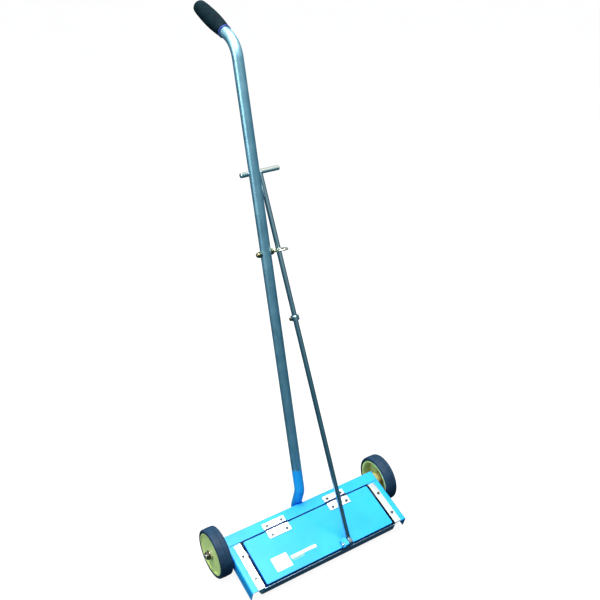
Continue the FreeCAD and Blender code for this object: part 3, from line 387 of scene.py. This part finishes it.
def hinge_metal(name="bright_zinc"):
    """Bright plated leaves whose knuckles are painted dark navy as shade in the gap between deck and lid."""
    look = Look(name, Metallic=1.0)
    blotch = look.noise(260, 4, 0.6)
    colour = look.blend(look.range(blotch, 0.35, 0.65), (0.80, 0.81, 0.82, 1), (0.90, 0.91, 0.92, 1))
    dull = look.range(look.noise(70, 5, 0.65, 0.5), 0.58, 0.76, 0, 0.22)
    colour = look.blend(dull, colour, (0.55, 0.56, 0.57, 1))
    parts = look.tree.nodes.new("ShaderNodeSeparateXYZ")
    look.feed(parts.inputs["Vector"], look.place)
    across = look.maths("SUBTRACT", parts.outputs["Y"], HINGE.y)
    above = look.maths("SUBTRACT", parts.outputs["Z"], HINGE.z)
    across_squared = look.maths("MULTIPLY", across, across)
    above_squared = look.maths("MULTIPLY", above, above)
    distance = look.maths("SQRT", look.maths("ADD", across_squared, above_squared))
    from_axis = look.maths("ADD", distance, look.range(blotch, 0.3, 0.7, -0.3 * MM, 0.3 * MM))
    # Painted shade: the knuckles round the hinge axis are darkened to navy.
    knuckle_shade = look.range(from_axis, 3.5 * MM, 2.9 * MM)
    colour = look.blend(knuckle_shade, colour, (0.020, 0.055, 0.16, 1))
    roughness = look.range(look.noise(90, 4, 0.6), 0.3, 0.7, 0.22, 0.36)
    return look.set(colour, roughness, look.bump(look.noise(700, 3, 0.5), 0.012))


def drawn_tube(name="drawn_tube"):
    """Cold-drawn tube: fine lengthwise draw marks, handling smears and darker teal patches; its teal base colour
    is partly a painted blue reflection.
    """
    look = Look(name, Metallic=1.0)
    marks = look.noise(420, 3, 0.5, 0, look.stretched(1.0, 1.0, 0.03, HANDLE_TURN))
    # Teal base colours: partly a painted reflection of blue surroundings.
    colour = look.blend(look.range(marks, 0.3, 0.7), (0.30, 0.58, 0.70, 1), (0.38, 0.68, 0.79, 1))
    film = look.range(look.noise(9, 3, 0.5, 0.4), 0.4, 0.7, 0, 0.45)
    colour = look.blend(film, colour, (0.26, 0.54, 0.66, 1))
    stain = look.range(look.noise(48, 5, 0.7, 0.6), 0.68, 0.82, 0, 0.30)
    colour = look.blend(stain, colour, (0.20, 0.30, 0.34, 1))
    roughness = look.range(look.noise(30, 4, 0.6), 0.3, 0.7, 0.34, 0.44)
    return look.set(colour, roughness, look.bump(marks, 0.006))


def polished_bar(name, dark, light, stretch, turn, stained):
    """Bright drawn bar with fine drawing lines and dull finger marks."""
    look = Look(name, Metallic=1.0)
    lines = look.noise(500, 3, 0.5, 0, look.stretched(*stretch, turn))
    colour = look.blend(look.range(lines, 0.3, 0.7), dark, light)
    stain = look.range(look.noise(60, 5, 0.7, 0.5), 0.62, 0.80, 0, stained)
    colour = look.blend(stain, colour, (0.12, 0.15, 0.16, 1))
    roughness = look.range(look.noise(45, 4, 0.6), 0.3, 0.7, 0.10, 0.18)
    return look.set(colour, roughness, look.bump(lines, 0.004))


def rubber(name, dark, light, rough_low, rough_high, dust, gloss=0.25):
    """Moulded rubber: fine pebbling, scuffs and a little dust."""
    look = Look(name, Specular_IOR_Level=gloss)
    mottled = look.noise(70, 4, 0.6)
    colour = look.blend(look.range(mottled, 0.3, 0.7), dark, light)
    dusty = look.range(look.noise(28, 6, 0.7, 0.4), 0.55, 0.80, 0, dust)
    colour = look.blend(dusty, colour, (0.16, 0.16, 0.17, 1))
    roughness = look.range(look.noise(120, 4, 0.6), 0.3, 0.7, rough_low, rough_high)
    normal = look.bump(look.noise(900, 3, 0.5), 0.035)
    scuffs = look.range(look.noise(210, 4, 0.75, 0.5), 0.60, 0.70)
    normal = look.bump(scuffs, 0.03, normal)
    return look.set(colour, roughness, normal)


def hub_plastic(name="hub_plastic"):
    """Yellow-green moulded nylon with flow marks, grime and painted brown shade in its recesses and corners."""
    look = Look(name, Subsurface_Weight=0.06, Subsurface_Scale=0.002, Specular_IOR_Level=0.45)
    flow = look.noise(26, 4, 0.6, 1.2)
    colour = look.blend(look.range(flow, 0.35, 0.65), (0.58, 0.82, 0.28, 1), (0.70, 0.92, 0.36, 1))
    grime = look.range(look.noise(40, 6, 0.7, 0.5), 0.54, 0.78, 0, 0.5)
    colour = look.blend(grime, colour, (0.40, 0.46, 0.20, 1))
    # Painted shade: recesses and corners are darkened towards brown.
    recess_shade = look.maths("MULTIPLY", look.shade_in_gaps(40, 0.10, 0.70), 0.9)
    colour = look.blend(recess_shade, colour, (0.52, 0.29, 0.09, 1))
    roughness = look.range(look.noise(60, 4, 0.6), 0.3, 0.7, 0.30, 0.50)
    normal = look.bump(look.noise(480, 3, 0.5), 0.03)
    return look.set(colour, roughness, normal)


def nylon(name="bush_nylon"):
    """Milky bearing plastic."""
    look = Look(name, Subsurface_Weight=0.1, Subsurface_Scale=0.002)
    clouds = look.range(look.noise(90, 4, 0.6), 0.3, 0.7)
    colour = look.blend(clouds, (0.62, 0.60, 0.52, 1), (0.74, 0.72, 0.66, 1))
    normal = look.bump(look.noise(800, 2, 0.5), 0.02)
    return look.set(colour, look.range(look.noise(70, 3, 0.5), 0.3, 0.7, 0.35, 0.5), normal)


def ferrite(name="ferrite"):
    """Sintered magnet: charcoal, grainy and matt."""
    look = Look(name, Specular_IOR_Level=0.35)
    grains = look.cells(900)
    patches = look.range(look.noise(60, 5, 0.7), 0.3, 0.7)
    colour = look.blend(patches, (0.030, 0.030, 0.033, 1), (0.060, 0.060, 0.064, 1))
    normal = look.bump(grains, 0.05)
    return look.set(colour, look.range(look.noise(200, 3, 0.5), 0.3, 0.7, 0.55, 0.75), normal)


def label_vinyl(name="label_vinyl", tint=(0.80, 0.81, 0.82, 1)):
    """Blank white vinyl with faint smudges and a lightly textured face."""
    look = Look(name, Specular_IOR_Level=0.5)
    smudge = look.range(look.noise(60, 5, 0.7, 0.5), 0.50, 0.78, 0, 0.22)
    colour = look.blend(smudge, tint, (0.55, 0.60, 0.60, 1))
    colour = look.blend(look.maths("MULTIPLY", look.edges(0.8), 0.2), colour, (0.45, 0.46, 0.46, 1))
    normal = look.bump(look.noise(1200, 2, 0.5), 0.012)
    return look.set(colour, look.range(look.noise(80, 3, 0.5), 0.3, 0.7, 0.30, 0.45), normal)


def floor_paint(name="studio_floor"):
    """Matt pale studio floor, lit a little from within like a light table."""
    look = Look(name, Specular_IOR_Level=0.15, Emission_Color=(1, 1, 1, 1), Emission_Strength=0.92)
    clouds = look.range(look.noise(3, 3, 0.5), 0.3, 0.7)
    colour = look.blend(clouds, (0.11, 0.11, 0.11, 1), (0.13, 0.13, 0.13, 1))
    return look.set(colour, 0.85)


PAINT = paint()
LOOKS = {
    "painted_steel": PAINT,
    "stainless_tray": stainless(),
    "bare_steel": plated("mill_steel", (0.20, 0.20, 0.21, 1), (0.34, 0.34, 0.35, 1), 0.38, 0.55, 90),
    "ferrite": ferrite(),
    # The pull rod's dark teal base colours are partly a painted reflection of dark blue surroundings.
    "polished_rod": polished_bar(
        "polished_bar", (0.24, 0.36, 0.40, 1), (0.40, 0.54, 0.58, 1), (1, 1, 0.03), ROD_TURN, 0.4
    ),
    "zinc_plate": plated("yellow_zinc", (0.66, 0.62, 0.44, 1), (0.84, 0.80, 0.64, 1), 0.16, 0.30),
    "dark_fasteners": plated(
        "black_oxide", (0.045, 0.040, 0.034, 1), (0.10, 0.09, 0.075, 1), 0.25, 0.40, edge_wear_and_highlight=0.25
    ),
    "hinge_steel": hinge_metal(),
    "screw_steel": plated(
        "screw_steel", (0.03, 0.04, 0.05, 1), (0.08, 0.10, 0.11, 1), 0.28, 0.40, edge_wear_and_highlight=0.05
    ),
    "tube_steel": drawn_tube(),
    "grip_rubber": rubber(
        "grip_rubber", (0.001, 0.005, 0.008, 1), (0.002, 0.010, 0.014, 1), 0.50, 0.64, 0.01, 0.04
    ),
    "tyre_rubber": rubber(
        "tyre_rubber", (0.005, 0.022, 0.048, 1), (0.009, 0.036, 0.076, 1), 0.55, 0.72, 0.07
    ),
    "hub_plastic": hub_plastic(),
    "bush_plastic": nylon(),
}


def slots_by_node():
    """The record's material slot of every node."""
    return {row["node"]: row["material_slot"] for row in RECORD["subparts"]}


def dress(obj, material):
    """Gives an object one material in all its slots."""
    if not obj.material_slots:
        obj.data.materials.append(material)
    for holder in obj.material_slots:
        holder.material = material


SLOT_OF = slots_by_node()
for node_name, node in NODES.items():
    dress(node, LOOKS[SLOT_OF[node_name]])
for node_name, width in {
    "rear_channel": 0.35, "left_rail": 0.35, "right_rail": 0.35, "lid_cover": 0.5, "pull_lug": 0.9,
    "tray": 0.25, "left_hinge_deck_leaf": 0.3, "right_hinge_deck_leaf": 0.3,
    "left_hinge_lid_leaf": 0.3, "right_hinge_lid_leaf": 0.3, "guide_nut": 0.4, "guide_acorn_nut": 0.3,
    "axle_nuts": 0.6, "axle_washers": 0.3, "axle": 0.4, "axle_spacers": 0.3, "stop_collar": 0.5,
    "collar_screw": 0.4, "pivot_pin": 0.3, "t_bar": 0.3, "handle_socket": 0.4, "handle_tube": 0.3,
    "magnet_yoke": 0.5, "centre_pole": 0.4, "magnet_blocks": 0.5, "pull_rod": 0.4,
}.items():
    soften(node_name, width)

# A darker copy of the yellow plating for the guide nuts: their dark tone is partly painted shade.
SHADED_NUT_PLATING = plated("shaded_nut_plating", (0.10, 0.09, 0.045, 1), (0.24, 0.21, 0.11, 1), 0.14, 0.26)
dress(NODES["guide_acorn_nut"], SHADED_NUT_PLATING)
dress(NODES["guide_nut"], SHADED_NUT_PLATING)
HAND_BAR = polished_bar(
    "hand_polished_bar", (0.78, 0.84, 0.76, 1), (0.93, 0.97, 0.90, 1), (0.03, 1, 1), 0.0, 0.25
)
dress(NODES["t_bar"], HAND_BAR)


# ---- Detailed pieces --------------------------------------------------------------------------------
def add(obj, body, slot, material, *stands_for):
    """Dresses a new piece, fixes it to its body and hides the CAD nodes it stands for."""
    if material is not None:
        dress(obj, material)
    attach(obj, body)
    if stands_for:
        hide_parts(*stands_for)


def arc_points(along, radius, size, start, end, steps):
    """A rounded corner of an (along, radius) profile, between two angles in degrees."""
    points = []
    for i in range(steps + 1):
        angle = math.radians(start + (end - start) * i / steps)
        points.append((along + size * math.cos(angle), radius + size * math.sin(angle)))
    return points


def in_metres(profile):
    """A profile written in millimetres, in metres."""
    return [(along * MM, radius * MM) for along, radius in profile]


def tyre(side):
    """Solid tyre: crowned tread with a mould line, round shoulders and a groove in each wall."""
    outer_half = [(0.0, 62.5), (0.35, 62.5), (0.7, 62.2), (4.0, 62.15), (8.0, 62.0)]
    outer_half += arc_points(12.0, 58.0, 3.9, 80, 8, 6)
    outer_half += [(16.0, 57.9), (15.9, 57.2), (15.3, 56.8), (15.3, 56.3)]
    outer_half += [(15.8, 56.0), (15.8, 54.6), (15.3, 53.8), (14.6, 53.55)]
    mirrored = [(-along, radius) for along, radius in reversed(outer_half[1:])]
    place = along_axis(joint_place(side + "_wheel_spin"), Vector((1, 0, 0)))
    obj = ring_lathe(side + "_tyre_rubber", in_metres(outer_half + mirrored), 128, place)
    shade_by_angle(obj, 40)
    add(obj, side + "_wheel", "tyre_rubber", LOOKS["tyre_rubber"], side + "_tyre")


def grip():
    """Rubber grip: lengthwise ribs between a thin mouth flange and a blunt end."""
    length = GRIP_LENGTH
    profile = [(0.4, 13.0), (0.0, 13.5), (0.0, 14.8), (0.5, 15.25), (1.9, 15.25)]
    profile += [(2.5, 14.7), (2.8, 14.2), (3.6, 14.15)]
    steps = 30
    for i in range(1, steps):
        share = i / steps
        along = 4.0 + (length - 11.5) * share
        belly = 3.3 * math.sin(math.pi * share ** 0.86) ** 0.9
        profile.append((along, 14.15 + 1.6 * share + belly))
    profile += [(length - 7.0, 15.7), (length - 5.0, 15.2), (length - 2.4, 13.5), (length - 0.8, 12.0)]
    profile += [(length, 11.1), (length, 9.0), (length - 0.8, 8.6), (length - 0.8, 0.0)]

    def ribs(angle, along, radius):
        along = along / MM
        inside = min(1.0, max(0.0, (along - 6.0) / 5.0)) * min(1.0, max(0.0, (length - 11.0 - along) / 5.0))
        return inside * (0.75 * abs(math.cos(12 * angle)) ** 0.6 - 0.35) * MM

    direction = DECK_AXES @ Vector((0, 1, 0))
    place = along_axis(on_deck(0, GRIP_START_Y, HANDLE_TOP_Z), direction)
    obj = lathe("ribbed_grip", in_metres(profile), 288, place, ribs)
    shade_by_angle(obj, 50)
    rim = rubber("grip_mouth_rubber", (0.030, 0.050, 0.24, 1), (0.050, 0.080, 0.34, 1), 0.40, 0.55, 0.02)
    obj.data.materials.append(LOOKS["grip_rubber"])
    obj.data.materials.append(rim)
    rim_end = on_deck(0, GRIP_START_Y + GRIP_RIM_LENGTH, HANDLE_TOP_Z).dot(direction)
    for face in obj.data.polygons:
        face.material_index = 1 if face.center.dot(direction) < rim_end else 0
    add(obj, "frame", "grip_rubber", None, "handle_grip")


def weld_bead(name, points, width, body, slot, material):
    """A rippled bead laid along a row of points."""
    run = [0.0]
    for a, b in zip(points, points[1:]):
        run.append(run[-1] + (b - a).length)
    pitch = width * 0.62
    count = max(8, int(run[-1] / (pitch / 6)))
    bm = bmesh.new()
    rings = []
    around = 12
    for i in range(count + 1):
        distance = run[-1] * i / count
        k = max(j for j in range(len(points) - 1) if run[j] <= distance + 1e-9)
        share = (distance - run[k]) / max(run[k + 1] - run[k], 1e-9)
        place = points[k].lerp(points[k + 1], share)
        direction = (points[k + 1] - points[k]).normalized()
        one = direction.orthogonal().normalized()
        two = direction.cross(one)
        ripple = (distance / pitch) % 1.0
        taper = min(1.0, 0.45 + 2.2 * min(i, count - i) / count)
        radius = width / 2 * (0.80 + 0.20 * math.sin(math.pi * ripple)) * taper
        ring = []
        for j in range(around):
            angle = 2 * math.pi * j / around
            ring.append(bm.verts.new(place + radius * (math.cos(angle) * one + math.sin(angle) * two)))
        rings.append(ring)
    for a, b in zip(rings, rings[1:]):
        for j in range(around):
            n = (j + 1) % around
            bm.faces.new((a[j], a[n], b[n], b[j]))
    bm.faces.new(rings[0])
    bm.faces.new(list(reversed(rings[-1])))
    add(mesh_object(name, bm), body, slot, material)


def welds():
    """Beads at the handle's foot, under the cross bar and round the lug's base."""
    for name, side in SIDES.items():
        points = [on_deck(side * 8.4, 34.2, z) for z in (-27.0, -20.0, -13.0, -6.0)]
        weld_bead(name + "_foot_weld", points, 5.0 * MM, "frame", "painted_steel", PAINT)
    saddle = []
    across = Vector((1, 0, 0)).cross(ROD_UP).normalized()
    for i in range(25):
        angle = 2 * math.pi * i / 24
        drop = math.sqrt(max(0.0, ROD_RADIUS ** 2 - (ROD_RADIUS * math.sin(angle)) ** 2)) + 0.4
        offset = Vector((1, 0, 0)) * 6.3 * math.cos(angle) + across * 6.1 * math.sin(angle)
        saddle.append(ROD_TOP - ROD_UP * drop * MM + offset * MM)
    weld_bead("cross_bar_weld", saddle, 2.2 * MM, "rod", "polished_rod", LOOKS["polished_rod"])
    lug_base = [
        on_deck(x, y, 3.2) for x, y in ((29.8, -123.0), (29.8, -107.8), (44.2, -107.8), (44.2, -123.0))
    ]
    corners = []
    for a, b in zip(lug_base, lug_base[1:]):
        corners += [a.lerp(b, i / 6) for i in range(6)]
    corners.append(lug_base[-1])
    weld_bead("lug_weld", corners, 2.4 * MM, "lid", "painted_steel", PAINT)


def label(name, x0, x1, y0, y1, corner, material):
    """A thin blank label with round corners, stuck on the lid."""
    outline = []
    for cx, cy, start in (
        (x1 - corner, y1 - corner, 0), (x0 + corner, y1 - corner, 90),
        (x0 + corner, y0 + corner, 180), (x1 - corner, y0 + corner, 270),
    ):
        for i in range(7):
            angle = math.radians(start + 15 * i)
            outline.append((cx + corner * math.cos(angle), cy + corner * math.sin(angle)))
    bm = bmesh.new()
    low = [bm.verts.new(on_deck(x, y, LID_TOP_Z + 0.02)) for x, y in outline]
    high = [bm.verts.new(on_deck(x, y, LID_TOP_Z + LABEL_THICKNESS)) for x, y in outline]
    bm.faces.new(high)
    bm.faces.new(list(reversed(low)))
    for i in range(len(outline)):
        j = (i + 1) % len(outline)
        bm.faces.new((low[i], low[j], high[j], high[i]))
    add(mesh_object(name, bm, False), "lid", "painted_steel", material)


for side_name in SIDES:
    tyre(side_name)
grip()
welds()
LABEL = label_vinyl()
label("square_label", -147, -104, -109, -72, 1.5, LABEL)
label("long_label", -99, -27, -93.5, -86, 1.0, LABEL)
TINTED_LABEL = label_vinyl("tinted_vinyl", (0.09, 0.31, 0.26, 1))
label("long_label_lower_field", -99, -66, -100, -94, 1.0, TINTED_LABEL)


# ---- Camera -----------------------------------------------------------------------------------------
EYE = on_deck(-828.7, -819.3, 1804.2)
LOOKING = (DECK_AXES @ Vector((0.4614, 0.5653, -0.6839))).normalized()
HEAD = DECK_AXES @ Vector((0.2676, 0.6462, 0.7147))


def camera():
    """The camera, above the sweeper and in front of its left end."""
    data = bpy.data.cameras.new("camera")
    data.sensor_width = 36.0
    data.lens = 49.26
    data.clip_start = 0.05
    data.clip_end = 40.0
    obj = bpy.data.objects.new("camera", data)
    bpy.context.scene.collection.objects.link(obj)
    back = -LOOKING
    right = HEAD.cross(back).normalized()
    up = back.cross(right).normalized()
    turn = Matrix((right, up, back)).transposed().to_4x4()
    obj.matrix_world = Matrix.Translation(EYE) @ turn
    bpy.context.scene.camera = obj


def softbox(name, place, target, width, height, watts, tint=(1, 1, 1)):
    """A rectangular studio light aimed at a point."""
    data = bpy.data.lights.new(name, "AREA")
    data.shape = "RECTANGLE"
    data.size = width
    data.size_y = height
    data.energy = watts
    data.color = tint
    obj = bpy.data.objects.new(name, data)
    bpy.context.scene.collection.objects.link(obj)
    aim = Vector(target) - Vector(place)
    obj.matrix_world = Matrix.Translation(place) @ aim.to_track_quat("-Z", "Y").to_matrix().to_4x4()


def surroundings():
    """A pale ceiling over a dim blue-grey surround, as bright metal shows it."""
    world = bpy.data.worlds.new("studio")
    bpy.context.scene.world = world
    world.use_nodes = True
    tree = world.node_tree
    shade = tree.nodes["Background"]
    place = tree.nodes.new("ShaderNodeTexCoord")
    split = tree.nodes.new("ShaderNodeSeparateXYZ")
    height = tree.nodes.new("ShaderNodeMapRange")
    height.inputs["From Min"].default_value = -1.0
    ramp = tree.nodes.new("ShaderNodeValToRGB")
    tree.links.new(place.outputs["Generated"], split.inputs["Vector"])
    tree.links.new(split.outputs["Z"], height.inputs["Value"])
    tree.links.new(height.outputs["Result"], ramp.inputs["Fac"])
    stops = [
        (0.0, (0.04, 0.10, 0.14, 1)),
        (0.42, (0.06, 0.17, 0.24, 1)),
        (0.54, (0.15, 0.32, 0.40, 1)),
        (0.66, (0.75, 0.85, 0.90, 1)),
        (1.0, (1.0, 1.0, 1.0, 1)),
    ]
    shades = ramp.color_ramp.elements
    shades[0].position, shades[0].color = stops[0]
    shades[1].position, shades[1].color = stops[-1]
    for position, colour in stops[1:-1]:
        shades.new(position).color = colour
    tree.links.new(ramp.outputs["Color"], shade.inputs["Color"])
    rays = tree.nodes.new("ShaderNodeLightPath")
    strength = tree.nodes.new("ShaderNodeMapRange")
    strength.inputs["To Min"].default_value = 0.8
    strength.inputs["To Max"].default_value = 0.40
    tree.links.new(rays.outputs["Is Diffuse Ray"], strength.inputs["Value"])
    tree.links.new(strength.outputs["Result"], shade.inputs["Strength"])


def floor():
    """A large plain floor that curves up all round. It throws no light back on the object."""
    radius = 7.0
    rise = 3.0
    profile = [(0.0, 0.0), (0.0, radius - rise)]
    for i in range(1, 13):
        angle = math.radians(90 * i / 12)
        profile.append((rise - rise * math.cos(angle), radius - rise + rise * math.sin(angle)))
    profile.append((8.0, radius))
    obj = lathe("studio_floor", profile, 96, Matrix.Identity(4))
    dress(obj, floor_paint())
    obj.visible_diffuse = False
    obj.visible_glossy = False
    obj.visible_shadow = False


camera()
surroundings()
floor()
softbox("overhead", (-0.20, -0.20, 3.2), (0, -0.1, 0), 1.8, 1.8, 205)
softbox("left_fill", (-2.6, -0.3, 1.7), (0, 0, 0.2), 1.0, 2.0, 36)
scene = bpy.context.scene
scene.view_settings.view_transform = "Standard"
scene.view_settings.look = "None"
scene.view_settings.exposure = 0.0
scene.view_settings.gamma = 1.0
